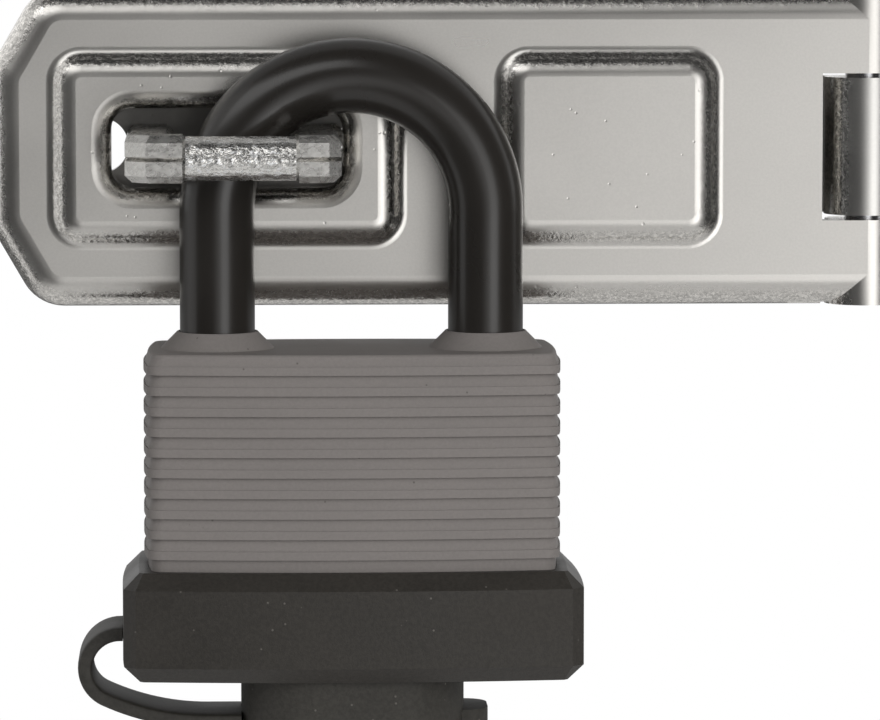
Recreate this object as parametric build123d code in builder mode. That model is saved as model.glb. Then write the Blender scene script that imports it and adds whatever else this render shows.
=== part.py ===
from build123d import *
from math import radians, sin, sqrt, tan
import os

os.makedirs("parts", exist_ok=True)

# Frame: X runs along the hasp from its free end (-X) to its hinge (+X), Z is up and -Y points away from the
# mounting surface. The origin is the centre of the hinge base's four screw holes, on the mounting surface.

# Hasp leaf and hinge, millimetres
leaf_t = 2.1                 # sheet thickness of the leaf
leaf_height = 34.4           # size across the leaf, along Z
tip_margin = 6.95            # slotted panel to the leaf's free end
tip_flat = 16.5              # height of the flat at the free end
tip_slope_run = 5.2          # length of the two sloping corners, along X
tip_corner_r = 5.0           # rounding of the outline's corners
edge_r = 3.4                 # rounding where the face turns into the skirt
skirt_gap = 0.2              # skirt edge to the mounting surface
pin_r = 2.1                  # hinge pin
pin_clearance = 0.05         # running clearance on the pin
base_t = 2.2                 # hinge base plate
notch_height = 15.9          # window in the leaf for the middle knuckle
notch_reach = 5.0            # pin axis to the window's edge
knuckle_gap = 0.5            # end play between the knuckles
roll_gap = 0.4               # slit left where a rolled knuckle closes
hinge_x = 27.7               # screw pattern centre to the pin axis
hinge_pin_bevel = 0.35

# Raised panels in the leaf
panel_rise = 1.5
panel_height = 20.6
panel_corner_r = 4.2
panel_draft = 45.0           # slope of a panel's side walls, degrees
panel_edge_r = 2.6           # rounding of the plateau's edge
panel_foot_r = 1.6           # rounding where a panel's walls meet the face
slot_panel_length = 37.5
plain_panel_length = 23.5
plain_panel_x = -0.45        # centre of the plain panel

# Slot for the staple
slot_shift = 0.6             # staple's centre to the slot's, towards the free end
slot_length = 24.9
slot_height = 8.6
slot_corner_r = 2.3
slot_lip_depth = 4.4         # plateau to the inner end of the drawn lip
slot_lip_wall = 1.8
slot_edge_r = 2.1

# Hinge base
base_length = 40.0
base_height = 27.0
base_corner_r = 2.0
base_hole_r = 2.6
base_sink_r = 3.8
base_hole_inset = 5.15       # plate's inner end to its first screws
base_hole_margin = 5.5       # plate's long edges to its screws
base_side_gap = 0.6          # plate edge to the leaf's own knuckles

# Staple
plate_gap = 3.35             # between the hinge base and the staple plate
staple_z = -0.2
staple_width = 22.7          # outside, along X
staple_bar = 5.0             # side of the bar's section
staple_bar_edge_r = 1.3
staple_eye_depth = 11.4      # plateau to the inside of the bar
staple_outer_r = 4.6
staple_inner_r = 1.8
staple_tenon = 3.8           # side of the riveted tenon
staple_plate_t = 2.4
staple_plate_length = 41.0
staple_plate_height = 26.0
staple_plate_corner_r = 3.0
staple_hole_r = 3.0
staple_hole_inset = 6.2      # plate's ends to its screws

# Shackle
shackle_r = 4.0
shackle_span = 28.6          # between the legs' axes
shackle_offset = 12.6        # lock centre to the staple's centre, along X
shackle_hang = 0.3           # bow to the staple at rest
shackle_lift = 12.0
bore_clearance = 0.08        # legs in the lock body

# Lock body, jacket and bottom cover
leg_margin = 3.9             # shackle's legs to the jacket's ends
jacket_depth = 20.5
jacket_sag = 1.3             # crown of the front and back
jacket_side_sag = 0.6        # crown of the two ends
jacket_corner_r = 1.6
jacket_wall = 2.0
jacket_top_t = 1.5
jacket_drop = 14.65          # bow centre down to the jacket's top
jacket_top_edge_r = 0.5
rib_count = 10
rib_pitch = 2.17
rib_depth = 0.42
rib_flat = 0.9               # upright part of a rib
rib_lip = 0.15               # ledge between a rib's slope and its upright part
rib_first = 2.14             # jacket top down to the lowest point of the first step
collar_rise = 1.75
collar_wall = 0.3
block_height = 31.9
cover_end_overhang = 2.3     # cover past the jacket, at its ends
cover_face_overhang = 2.25   # cover past the jacket, front and back
cover_sag = 1.5
cover_side_sag = 0.3
cover_height = 11.6
cover_drop = 23.0            # jacket top down to the cover's rim
cover_floor_t = 1.2
cover_edge = 1.7             # bevel round the rim and the foot
cover_corner = 1.2           # bevel of the upright corners
cover_lap = 2.2              # length of jacket held inside the cover
cover_fit = 0.05
neck_height = 2.5
neck_wall = 2.4

# Locking bolts, cam and cylinder
bolt_r = 2.25
bolt_drop = 4.0              # lock body's top down to the bolts' axis
bolt_fit = 0.05
bolt_travel = 1.5
bolt_bite = 1.35             # depth of a bolt in its notch when locked
bolt_tip_r = 0.7
notch_gap = 0.2
toe_land = 2.0               # metal under the toe's notch
toe_tip_r = 1.2
neck_r = 2.5                 # heel's reduced shank
heel_end = 1.8               # full-size end of the heel
heel_pin_r = 1.2
heel_spring_room = 5.6
spring_wire = 0.8
spring_turns = 3
cam_long = 4.2
cam_short = 2.7
cam_gap = 0.25
cam_foot_r = 4.35
cam_foot_t = 3.25
cam_tongue_length = 6.7
cam_tongue_width = 2.0
cam_tongue_height = 1.2
plug_r = 4.5
plug_fit = 0.05
plug_groove_r = 3.6
plug_groove_drop = 2.2
plug_pin_r = 1.0
keyway_width = 1.6
keyway_depth = 6.4
tumbler_count = 5
tumbler_pitch = 3.4
tumbler_first = 2.6          # plug face to the first pin
tumbler_r = 1.2
tumbler_fit = 0.04
key_pin_lengths = [2.5, 2.0, 2.8, 2.2, 2.6]
key_pin_bevel = 0.4
cross_pin_bevel = 0.2
driver_length = 1.4
tumbler_spring_length = 1.4
tumbler_spring_wire = 0.28
tumbler_spring_turns = 3

# Keyway cap and its strap
cap_length = 23.8
cap_depth = 19.6
cap_corner_r = 8.0
cap_height = 6.9
cap_wall = 1.3               # round the neck
cap_gap = 0.1                # cap's rim to the cover
cap_edge_r = 1.2
cap_spigot = 2.0
cap_spigot_wall = 1.4
cap_fit = 0.05
cap_tab_length = 2.6
cap_tab_width = 8.0
cap_tab_corner_r = 2.4
cap_tab_t = 2.2
strap_width = 10.0
strap_t = 1.8
strap_seat = 2.1             # cap's foot up to the strap's centre line
strap_drop = 7.3             # cover rim down to the strap's root
strap_stub = 0.3             # straight start out of the cover
strap_top_r = 3.7            # centre-line radii of the loop
strap_low_r = 3.6
strap_low_turn = 65.0        # degrees turned by the lower tight bend

# A face or an edge counts as lying in a plane when it is this near to it
touch = 0.01

# Sizes and places that follow
pin_bore_r = pin_r + pin_clearance
hinge_y = -(base_t + pin_bore_r)
leaf_knuckle_r = pin_bore_r + leaf_t
face_y = hinge_y - leaf_knuckle_r
inner_y = face_y + leaf_t
plateau_y = face_y - panel_rise
base_end_x = hinge_x - leaf_knuckle_r - base_side_gap
base_far_x = base_end_x - base_length
base_hole_span_x = -2 * (base_far_x + base_hole_inset)
base_hole_span_z = base_height - 2 * base_hole_margin
knuckle_height = notch_height - 2 * knuckle_gap
staple_x = base_far_x - plate_gap - staple_plate_length / 2
staple_hole_span = staple_plate_length - 2 * staple_hole_inset
slot_panel_x = staple_x - slot_shift
tip_x = slot_panel_x - slot_panel_length / 2 - tip_margin
panels = ((slot_panel_x, slot_panel_length), (plain_panel_x, plain_panel_length))
bar_inner_y = plateau_y - staple_eye_depth
bar_front_y = bar_inner_y - staple_bar
lock_x = staple_x + shackle_offset
lock_y = plateau_y - staple_eye_depth / 2
toe_x = lock_x - shackle_span / 2
heel_x = lock_x + shackle_span / 2
staple_inner_x = staple_x + staple_width / 2 - staple_bar
bow_r = shackle_span / 2
corner_x = staple_inner_x + staple_bar_edge_r
corner_z = staple_z + staple_bar / 2 - staple_bar_edge_r
corner_reach = bow_r - shackle_r - shackle_hang - staple_bar_edge_r
bow_z = corner_z - sqrt(corner_reach**2 - (lock_x - corner_x) ** 2)
jacket_width = shackle_span + 2 * (shackle_r + leg_margin)
cover_width = jacket_width + 2 * cover_end_overhang
cover_depth = jacket_depth + 2 * cover_face_overhang
jacket_top_z = bow_z - jacket_drop
collar_top_z = jacket_top_z + collar_rise
block_top_z = jacket_top_z - jacket_top_t
block_foot_z = block_top_z - block_height
cover_rim_z = jacket_top_z - cover_drop
cover_foot_z = cover_rim_z - cover_height
jacket_foot_z = cover_rim_z - cover_lap
neck_foot_z = cover_foot_z - neck_height
neck_length = cap_length - 2 * cap_wall
neck_depth = cap_depth - 2 * cap_wall
neck_corner_r = cap_corner_r - cap_wall
cap_top_z = cover_foot_z - cap_gap
cap_foot_z = cap_top_z - cap_height
strap_end_z = cap_foot_z + strap_seat
bolt_z = block_top_z - bolt_drop
notch_half = bolt_r + notch_gap
toe_foot_z = bolt_z - notch_half - toe_land
heel_neck_z = toe_foot_z
heel_neck_length = shackle_lift + 2 * heel_pin_r + 2 * notch_gap
heel_flange_z = heel_neck_z - heel_neck_length
heel_foot_z = heel_flange_z - heel_end
heel_pin_z = heel_flange_z + shackle_lift + notch_gap + heel_pin_r
leg_bore_r = shackle_r + bore_clearance
plug_foot_z = block_foot_z
cam_top_z = bolt_z + bolt_r
cam_foot_z = bolt_z - bolt_r - notch_gap
plug_top_z = cam_foot_z - cam_foot_t
plug_length = plug_top_z - plug_foot_z
bolt_inner = cam_short + cam_gap
bolt_outer = shackle_span / 2 - shackle_r + bolt_bite - bolt_travel
block_half_depth = jacket_depth / 2 - jacket_wall


def crowned_outline(width, depth, front_sag, side_sag, corner_r, bevel=False):
    """A four-sided outline with crowned sides, centred on the lock, and rounded or bevelled at its corners."""
    half_x = width / 2 - side_sag
    half_y = depth / 2 - front_sag
    corners = [(-half_x, -half_y), (half_x, -half_y), (half_x, half_y), (-half_x, half_y)]
    crowns = [(0, -depth / 2), (width / 2, 0), (0, depth / 2), (-width / 2, 0)]
    with BuildSketch(Plane.XY, mode=Mode.PRIVATE) as outline:
        with BuildLine():
            for index, corner in enumerate(corners):
                ThreePointArc(corner, crowns[index], corners[(index + 1) % 4])
        make_face()
        if bevel:
            chamfer(outline.vertices(), corner_r)
        else:
            fillet(outline.vertices(), corner_r)
    return outline.sketch


def lock_plane(z):
    """The level plane at height z whose origin is the lock's centre line."""
    return Plane(origin=(lock_x, lock_y, z))


def front_plane(y, x=0, z=0):
    """The upright plane at depth y that faces away from the mounting surface, with X to the right and Z up."""
    return Plane(origin=(x, y, z), x_dir=(1, 0, 0), z_dir=(0, -1, 0))


def leaf_outline():
    """The leaf seen from the front, up to the pin axis."""
    half = leaf_height / 2
    slope_x = tip_x + tip_slope_run
    return [
        (hinge_x, -half),
        (slope_x, -half),
        (tip_x, -tip_flat / 2),
        (tip_x, tip_flat / 2),
        (slope_x, half),
        (hinge_x, half),
    ]


def coil(radius, length, wire, turns):
    """A compression spring's wire, standing on the level plane, with its ends inside the given length."""
    path = Helix(pitch=(length - wire) / turns, height=length - wire, radius=radius)
    section = Plane(origin=path @ 0, z_dir=path % 0) * Circle(wire / 2)
    return Pos(0, 0, wire / 2) * sweep(section, path=path)


# Hasp leaf: a pressed shell with two raised panels, a drawn slot and two rolled knuckles
with BuildPart() as leaf:
    with BuildSketch(front_plane(-skirt_gap)):
        with BuildLine():
            Polyline(*leaf_outline(), close=True)
        make_face()
    extrude(amount=-face_y - skirt_gap)
    tip_edges = leaf.edges().filter_by(Axis.Y).filter_by(lambda e: e.center().X < base_end_x)
    fillet(tip_edges, tip_corner_r)
    face_edges = leaf.faces().sort_by(Axis.Y)[0].edges().filter_by(lambda e: e.center().X < base_end_x)
    fillet(face_edges, edge_r)
    with BuildSketch(front_plane(-skirt_gap)):
        with BuildLine():
            Polyline(*leaf_outline(), close=True)
        make_face()
        offset(amount=-leaf_t, kind=Kind.INTERSECTION)
        with Locations((hinge_x - leaf_t / 2, 0)):
            Rectangle(2 * leaf_t, leaf_height - 2 * leaf_t)
    extrude(amount=-inner_y - skirt_gap, mode=Mode.SUBTRACT)
    panel_spread = leaf_t * tan(radians(panel_draft))
    for panel_x, panel_length in panels:
        with BuildSketch(front_plane(face_y + leaf_t / 2, panel_x)):
            RectangleRounded(panel_length + panel_spread, panel_height + panel_spread, panel_corner_r)
        extrude(amount=panel_rise + leaf_t / 2, taper=panel_draft)
    panel_tops = leaf.faces().filter_by(Plane.XZ).filter_by(lambda f: abs(f.center().Y - plateau_y) < touch)
    fillet(panel_tops.edges(), panel_edge_r)
    flat_face = leaf.faces().filter_by(Plane.XZ).filter_by(lambda f: abs(f.center().Y - face_y) < touch)
    fillet(flat_face.sort_by(SortBy.AREA)[-1].inner_wires().edges(), panel_foot_r)
    for panel_x, panel_length in panels:
        with BuildSketch(front_plane(inner_y, panel_x)):
            RectangleRounded(panel_length - leaf_t, panel_height - leaf_t, panel_corner_r - leaf_t / 2)
        extrude(amount=panel_rise, taper=panel_draft, mode=Mode.SUBTRACT)
    with BuildSketch(front_plane(plateau_y + slot_lip_depth, slot_panel_x)):
        RectangleRounded(slot_length + 2 * slot_lip_wall, slot_height + 2 * slot_lip_wall,
                         slot_corner_r + slot_lip_wall)
    extrude(amount=slot_lip_depth - leaf_t / 2)
    with BuildSketch(front_plane(0, slot_panel_x)):
        RectangleRounded(slot_length, slot_height, slot_corner_r)
    extrude(amount=-plateau_y, mode=Mode.SUBTRACT)
    slot_face = leaf.faces().filter_by(Plane.XZ).filter_by(lambda f: abs(f.center().Y - plateau_y) < touch)
    slot_edges = slot_face.sort_by(Axis.X)[0].inner_wires().edges()
    fillet(slot_edges, slot_edge_r)
    with Locations((base_end_x, 0, 0)):
        Box(2 * leaf_knuckle_r + base_side_gap, -inner_y, leaf_height,
            align=(Align.MIN, Align.MAX, Align.CENTER), mode=Mode.SUBTRACT)
    with BuildSketch(Plane.XY.offset(-leaf_height / 2)):
        with Locations((hinge_x, hinge_y)):
            Circle(leaf_knuckle_r)
    extrude(amount=leaf_height)
    with Locations((hinge_x - notch_reach, hinge_y, 0)):
        Box(4 * leaf_knuckle_r, 4 * leaf_knuckle_r, notch_height,
            align=(Align.MIN, Align.CENTER, Align.CENTER), mode=Mode.SUBTRACT)
    with Locations((hinge_x, hinge_y, 0)):
        Cylinder(pin_bore_r, 2 * leaf_height, mode=Mode.SUBTRACT)
    with Locations((hinge_x, inner_y, 0)):
        Box(2 * leaf_knuckle_r, roll_gap, leaf_height,
            align=(Align.MAX, Align.MIN, Align.CENTER), mode=Mode.SUBTRACT)
leaf.part.label = "leaf"
export_step(leaf.part, "parts/leaf.step")

# Hinge base: a flat plate whose narrow end is rolled round the pin as the middle knuckle
with BuildPart() as hinge_base:
    with BuildSketch(front_plane(0, base_end_x)):
        with Locations((-base_length / 2, 0)):
            RectangleRounded(base_length, base_height, base_corner_r)
    extrude(amount=base_t)
    with Locations((base_end_x - base_corner_r, 0, 0)):
        Box(hinge_x - base_end_x + base_corner_r, base_t, knuckle_height,
            align=(Align.MIN, Align.MAX, Align.CENTER))
    with BuildSketch(Plane.XY.offset(-knuckle_height / 2)):
        with Locations((hinge_x, hinge_y)):
            Circle(pin_bore_r + base_t)
    extrude(amount=knuckle_height)
    with Locations((hinge_x, hinge_y, 0)):
        Cylinder(pin_bore_r, base_height, mode=Mode.SUBTRACT)
    with Locations((hinge_x, -base_t, 0)):
        Box(2 * leaf_knuckle_r, roll_gap, knuckle_height,
            align=(Align.MAX, Align.MAX, Align.CENTER), mode=Mode.SUBTRACT)
    with Locations(front_plane(-base_t)):
        with GridLocations(base_hole_span_x, base_hole_span_z, 2, 2):
            CounterSinkHole(base_hole_r, base_sink_r)
hinge_base.part.label = "hinge_base"
export_step(hinge_base.part, "parts/hinge_base.step")

with BuildPart() as hinge_pin:
    with Locations((hinge_x, hinge_y, 0)):
        Cylinder(pin_r, leaf_height)
    chamfer(hinge_pin.edges().filter_by(GeomType.CIRCLE), hinge_pin_bevel)
hinge_pin.part.label = "hinge_pin"
export_step(hinge_pin.part, "parts/hinge_pin.step")

# Staple: a forged eye whose two tenons are riveted into a back plate
with BuildPart() as staple_eye:
    with BuildSketch(Plane(origin=(staple_x, 0, staple_z - staple_bar / 2))):
        with Locations((0, bar_front_y)):
            Rectangle(staple_width, -bar_front_y - staple_plate_t, align=(Align.CENTER, Align.MIN))
        with Locations((0, bar_inner_y)):
            Rectangle(staple_width - 2 * staple_bar, -bar_inner_y, align=(Align.CENTER, Align.MIN),
                      mode=Mode.SUBTRACT)
    extrude(amount=staple_bar)
    upright = staple_eye.edges().filter_by(Axis.Z)
    fillet(upright.filter_by(lambda e: abs(e.center().Y - bar_front_y) < touch), staple_outer_r)
    upright = staple_eye.edges().filter_by(Axis.Z)
    fillet(upright.filter_by(lambda e: abs(e.center().Y - bar_inner_y) < touch), staple_inner_r)
    rims = staple_eye.faces().filter_by(Axis.Z).edges()
    fillet(rims.filter_by(lambda e: e.center().Y < -staple_plate_t - touch), staple_bar_edge_r)
    leg_span = staple_width - staple_bar
    for side in (-1, 1):
        with Locations((staple_x + side * leg_span / 2, 0, staple_z)):
            Box(staple_tenon, staple_plate_t, staple_tenon, align=(Align.CENTER, Align.MAX, Align.CENTER))
staple_eye.part.label = "staple_eye"
export_step(staple_eye.part, "parts/staple_eye.step")

with BuildPart() as staple_plate:
    with BuildSketch(front_plane(0, staple_x)):
        RectangleRounded(staple_plate_length, staple_plate_height, staple_plate_corner_r)
        with GridLocations(staple_hole_span, 0, 2, 1):
            Circle(staple_hole_r, mode=Mode.SUBTRACT)
        with Locations((0, staple_z)):
            with GridLocations(leg_span, 0, 2, 1):
                Rectangle(staple_tenon, staple_tenon, mode=Mode.SUBTRACT)
    extrude(amount=staple_plate_t)
staple_plate.part.label = "staple_plate"
export_step(staple_plate.part, "parts/staple_plate.step")

# Shackle: the left leg is the short toe that leaves the lock, the right leg is the heel
with BuildPart() as shackle:
    with BuildLine(Plane.XZ.offset(-lock_y)) as shackle_path:
        toe_leg = Line((toe_x, toe_foot_z), (toe_x, bow_z))
        bow = ThreePointArc((toe_x, bow_z), (lock_x, bow_z + bow_r), (heel_x, bow_z))
        heel_leg = Line((heel_x, bow_z), (heel_x, heel_foot_z))
    with BuildSketch(Plane(origin=(toe_x, lock_y, toe_foot_z))):
        Circle(shackle_r)
    sweep(path=shackle_path.wires()[0])
    toe_end = shackle.faces().filter_by(Axis.Z).filter_by(lambda f: f.center().X < lock_x)
    fillet(toe_end.edges(), toe_tip_r)
    with BuildSketch(Plane(origin=(heel_x, lock_y, heel_flange_z))):
        Circle(shackle_r + bore_clearance)
        Circle(neck_r, mode=Mode.SUBTRACT)
    extrude(amount=heel_neck_length, mode=Mode.SUBTRACT)
    for leg_x, inward in ((toe_x, 1), (heel_x, -1)):
        with Locations((leg_x + inward * (shackle_r - bolt_bite - notch_gap), lock_y, bolt_z)):
            Box(2 * shackle_r, jacket_depth, 2 * notch_half,
                align=(Align.MIN if inward > 0 else Align.MAX, Align.CENTER, Align.CENTER),
                mode=Mode.SUBTRACT)
shackle.part.label = "shackle"
export_step(shackle.part, "parts/shackle.step")

# Lock body: one bored block
heel_spring_foot_z = heel_foot_z - heel_spring_room
shear_y = lock_y + plug_r + plug_fit
tumbler_bore_r = tumbler_r + tumbler_fit
block_back_y = lock_y + block_half_depth
tumbler_heights = [plug_foot_z + tumbler_first + tumbler_r + index * tumbler_pitch
                   for index in range(tumbler_count)]
heel_pin_x = heel_x - neck_r - notch_gap - heel_pin_r
plug_pin_x = lock_x + plug_groove_r + plug_pin_r + plug_fit
plug_pin_z = plug_top_z - plug_groove_drop
with BuildPart() as lock_block:
    block_outline = crowned_outline(jacket_width - 2 * (jacket_wall + rib_depth), jacket_depth - 2 * jacket_wall,
                                    jacket_sag, jacket_side_sag, jacket_corner_r)
    with BuildSketch(lock_plane(block_foot_z)):
        add(block_outline)
    extrude(amount=block_height)
    for leg_x, foot_z in ((toe_x, toe_foot_z - notch_gap), (heel_x, heel_spring_foot_z)):
        with Locations((leg_x, lock_y, block_top_z)):
            Cylinder(leg_bore_r, block_top_z - foot_z, align=(Align.CENTER, Align.CENTER, Align.MAX),
                     mode=Mode.SUBTRACT)
    with Locations((lock_x, lock_y, block_foot_z)):
        Cylinder(plug_r + plug_fit, cam_top_z + notch_gap - block_foot_z,
                 align=(Align.CENTER, Align.CENTER, Align.MIN), mode=Mode.SUBTRACT)
    with Locations(Plane(origin=(heel_x, lock_y, bolt_z), z_dir=(-1, 0, 0))):
        Cylinder(bolt_r + bolt_fit, jacket_width, align=(Align.CENTER, Align.CENTER, Align.MIN),
                 mode=Mode.SUBTRACT)
    for height in tumbler_heights:
        with Locations(Plane(origin=(lock_x, lock_y, height), z_dir=(0, 1, 0))):
            Cylinder(tumbler_bore_r, jacket_depth, align=(Align.CENTER, Align.CENTER, Align.MIN),
                     mode=Mode.SUBTRACT)
    for pin_x, pin_z, radius in ((heel_pin_x, heel_pin_z, heel_pin_r), (plug_pin_x, plug_pin_z, plug_pin_r)):
        with Locations(Plane(origin=(pin_x, lock_y, pin_z), z_dir=(0, 1, 0))):
            Cylinder(radius, jacket_depth, mode=Mode.SUBTRACT)
lock_block.part.label = "lock_block"
export_step(lock_block.part, "parts/lock_block.step")

# The two cross pins that keep the heel and the plug in the lock body
for name, pin_x, pin_z, radius in (
    ("heel_retainer", heel_pin_x, heel_pin_z, heel_pin_r),
    ("plug_retainer", plug_pin_x, plug_pin_z, plug_pin_r),
):
    with BuildPart() as cross_pin:
        with Locations(Plane(origin=(pin_x, lock_y, pin_z), z_dir=(0, 1, 0))):
            Cylinder(radius, 2 * block_half_depth - 2 * jacket_sag)
        chamfer(cross_pin.edges().filter_by(GeomType.CIRCLE), cross_pin_bevel)
    cross_pin.part.label = name
    export_step(cross_pin.part, f"parts/{name}.step")

# Jacket: a moulded sleeve with a collar round each leg and louvre-like ribs
core_width = jacket_width - 2 * rib_depth
core_depth = jacket_depth - 2 * rib_depth
with BuildPart() as jacket:
    with BuildSketch(lock_plane(jacket_foot_z)):
        add(crowned_outline(core_width, core_depth, jacket_sag, jacket_side_sag, jacket_corner_r))
    extrude(amount=jacket_top_z - jacket_foot_z)
    fillet(jacket.faces().sort_by(Axis.Z)[-1].edges(), jacket_top_edge_r)
    for index in range(rib_count):
        step_z = jacket_top_z - rib_first - index * rib_pitch
        slope_top_z = step_z + (rib_pitch if index else rib_first - jacket_top_edge_r)
        with BuildSketch(lock_plane(slope_top_z)):
            add(crowned_outline(core_width, core_depth, jacket_sag, jacket_side_sag, jacket_corner_r))
        with BuildSketch(lock_plane(step_z + rib_flat)):
            add(crowned_outline(jacket_width - 2 * rib_lip, jacket_depth - 2 * rib_lip,
                                jacket_sag, jacket_side_sag, jacket_corner_r))
        loft(ruled=True)
        with BuildSketch(lock_plane(step_z)):
            add(crowned_outline(jacket_width, jacket_depth, jacket_sag, jacket_side_sag, jacket_corner_r))
        extrude(amount=rib_flat)
    for leg_x in (toe_x, heel_x):
        with Locations((leg_x, lock_y, jacket_top_z)):
            Cone(shackle_r + collar_wall + collar_rise, shackle_r + collar_wall, collar_rise,
                 align=(Align.CENTER, Align.CENTER, Align.MIN))
    with BuildSketch(lock_plane(jacket_foot_z)):
        add(block_outline)
    extrude(amount=block_top_z - jacket_foot_z, mode=Mode.SUBTRACT)
    for leg_x in (toe_x, heel_x):
        with Locations((leg_x, lock_y, collar_top_z)):
            Cylinder(leg_bore_r, 2 * (collar_rise + jacket_top_t), mode=Mode.SUBTRACT)
jacket.part.label = "jacket"
export_step(jacket.part, "parts/jacket.step")

# Bottom cover: a bevelled cup with the keyway's neck moulded under it
with BuildPart() as bottom_cover:
    with BuildSketch(lock_plane(cover_foot_z)):
        add(crowned_outline(cover_width, cover_depth, cover_sag, cover_side_sag, cover_corner, bevel=True))
    extrude(amount=cover_height)
    chamfer(bottom_cover.faces().filter_by(Axis.Z).edges(), cover_edge)
    with BuildSketch(lock_plane(neck_foot_z)):
        RectangleRounded(neck_length, neck_depth, neck_corner_r)
    extrude(amount=neck_height + cover_floor_t)
    with BuildSketch(lock_plane(cover_foot_z + cover_floor_t)):
        add(crowned_outline(jacket_width - 2 * rib_depth - 2 * jacket_wall + 2 * cover_fit,
                            jacket_depth - 2 * jacket_wall + 2 * cover_fit,
                            jacket_sag, jacket_side_sag, jacket_corner_r))
    extrude(amount=cover_height, mode=Mode.SUBTRACT)
    with BuildSketch(lock_plane(jacket_foot_z)):
        add(crowned_outline(core_width + 2 * cover_fit, core_depth + 2 * cover_fit,
                            jacket_sag, jacket_side_sag, jacket_corner_r))
    extrude(amount=cover_height, mode=Mode.SUBTRACT)
    with BuildSketch(lock_plane(neck_foot_z)):
        RectangleRounded(neck_length - 2 * neck_wall, neck_depth - 2 * neck_wall, neck_corner_r - neck_wall)
    extrude(amount=neck_height + 2 * cover_floor_t, mode=Mode.SUBTRACT)
bottom_cover.part.label = "bottom_cover"
export_step(bottom_cover.part, "parts/bottom_cover.step")

# Locking bolts, drawn in towards the cam
for name, turn in (("toe_bolt", -1), ("heel_bolt", 1)):
    with BuildPart() as bolt:
        with Locations(Plane(origin=(lock_x + turn * bolt_inner, lock_y, bolt_z), z_dir=(turn, 0, 0))):
            Cylinder(bolt_r, bolt_outer - bolt_inner, align=(Align.CENTER, Align.CENTER, Align.MIN))
        tip = bolt.faces().filter_by(Axis.X).sort_by(Axis.X)[-1 if turn > 0 else 0]
        fillet(tip.edges(), bolt_tip_r)
    bolt.part.label = name
    export_step(bolt.part, f"parts/{name}.step")

# Cam: a two-lobed post whose narrow way faces the bolts, driven by a tongue in the plug
with BuildPart() as cam:
    with BuildSketch(lock_plane(cam_foot_z)):
        Ellipse(cam_short, cam_long)
    extrude(amount=cam_top_z - cam_foot_z)
    with BuildSketch(lock_plane(plug_top_z)):
        Circle(cam_foot_r)
    extrude(amount=cam_foot_z - plug_top_z)
    with Locations((lock_x, lock_y, plug_top_z)):
        Box(cam_tongue_length, cam_tongue_width, cam_tongue_height,
            align=(Align.CENTER, Align.CENTER, Align.MAX))
cam.part.label = "cam"
export_step(cam.part, "parts/cam.step")

# Plug: the turning cylinder with its keyway, pin bores and the groove for its cross pin
with BuildPart() as plug:
    with Locations((lock_x, lock_y, plug_foot_z)):
        Cylinder(plug_r, plug_length, align=(Align.CENTER, Align.CENTER, Align.MIN))
    with Locations((lock_x, lock_y, plug_top_z)):
        Box(2 * plug_r, cam_tongue_width, cam_tongue_height,
            align=(Align.CENTER, Align.CENTER, Align.MAX), mode=Mode.SUBTRACT)
    with BuildSketch(lock_plane(plug_pin_z - plug_pin_r - plug_fit)):
        Circle(plug_r + plug_fit)
        Circle(plug_groove_r, mode=Mode.SUBTRACT)
    extrude(amount=2 * (plug_pin_r + plug_fit), mode=Mode.SUBTRACT)
    with Locations((lock_x, lock_y - plug_r, plug_foot_z)):
        Box(keyway_width, keyway_depth, plug_length - plug_groove_drop - 2 * plug_pin_r,
            align=(Align.CENTER, Align.MIN, Align.MIN), mode=Mode.SUBTRACT)
    for height in tumbler_heights:
        with Locations(Plane(origin=(lock_x, lock_y, height), z_dir=(0, 1, 0))):
            Cylinder(tumbler_bore_r, plug_r, align=(Align.CENTER, Align.CENTER, Align.MIN),
                     mode=Mode.SUBTRACT)
plug.part.label = "plug"
export_step(plug.part, "parts/plug.step")

# Tumblers: key pins in the plug, drivers and their springs in the body, and the plugs that close the bores
key_pin_back_y = lock_y + sqrt(plug_r**2 - tumbler_r**2)
driver_front_y = shear_y + plug_fit
spring_front_y = driver_front_y + driver_length
closer_front_y = spring_front_y + tumbler_spring_length
with BuildPart() as key_pins:
    for height, length in zip(tumbler_heights, key_pin_lengths):
        with Locations(Plane(origin=(lock_x, key_pin_back_y, height), z_dir=(0, -1, 0))):
            Cylinder(tumbler_r, length, align=(Align.CENTER, Align.CENTER, Align.MIN))
    pin_rims = key_pins.edges().filter_by(GeomType.CIRCLE)
    chamfer(pin_rims.filter_by(lambda e: e.center().Y < key_pin_back_y - touch), key_pin_bevel)
key_pins.part.label = "key_pins"
export_step(key_pins.part, "parts/key_pins.step")

with BuildPart() as driver_pins:
    for height in tumbler_heights:
        with Locations(Plane(origin=(lock_x, driver_front_y, height), z_dir=(0, 1, 0))):
            Cylinder(tumbler_r, driver_length, align=(Align.CENTER, Align.CENTER, Align.MIN))
driver_pins.part.label = "driver_pins"
export_step(driver_pins.part, "parts/driver_pins.step")

closer_length = block_back_y - closer_front_y - tumbler_spring_wire
with BuildPart() as bore_closers:
    for height in tumbler_heights:
        with Locations(Plane(origin=(lock_x, closer_front_y, height), z_dir=(0, 1, 0))):
            Cylinder(tumbler_bore_r, closer_length, align=(Align.CENTER, Align.CENTER, Align.MIN))
bore_closers.part.label = "bore_closers"
export_step(bore_closers.part, "parts/bore_closers.step")

tumbler_coil = coil(tumbler_r - tumbler_spring_wire / 2, tumbler_spring_length, tumbler_spring_wire,
                    tumbler_spring_turns)
with BuildPart() as pin_springs:
    for height in tumbler_heights:
        add(Plane(origin=(lock_x, spring_front_y, height), z_dir=(0, 1, 0)) * tumbler_coil)
pin_springs.part.label = "pin_springs"
export_step(pin_springs.part, "parts/pin_springs.step")

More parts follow.
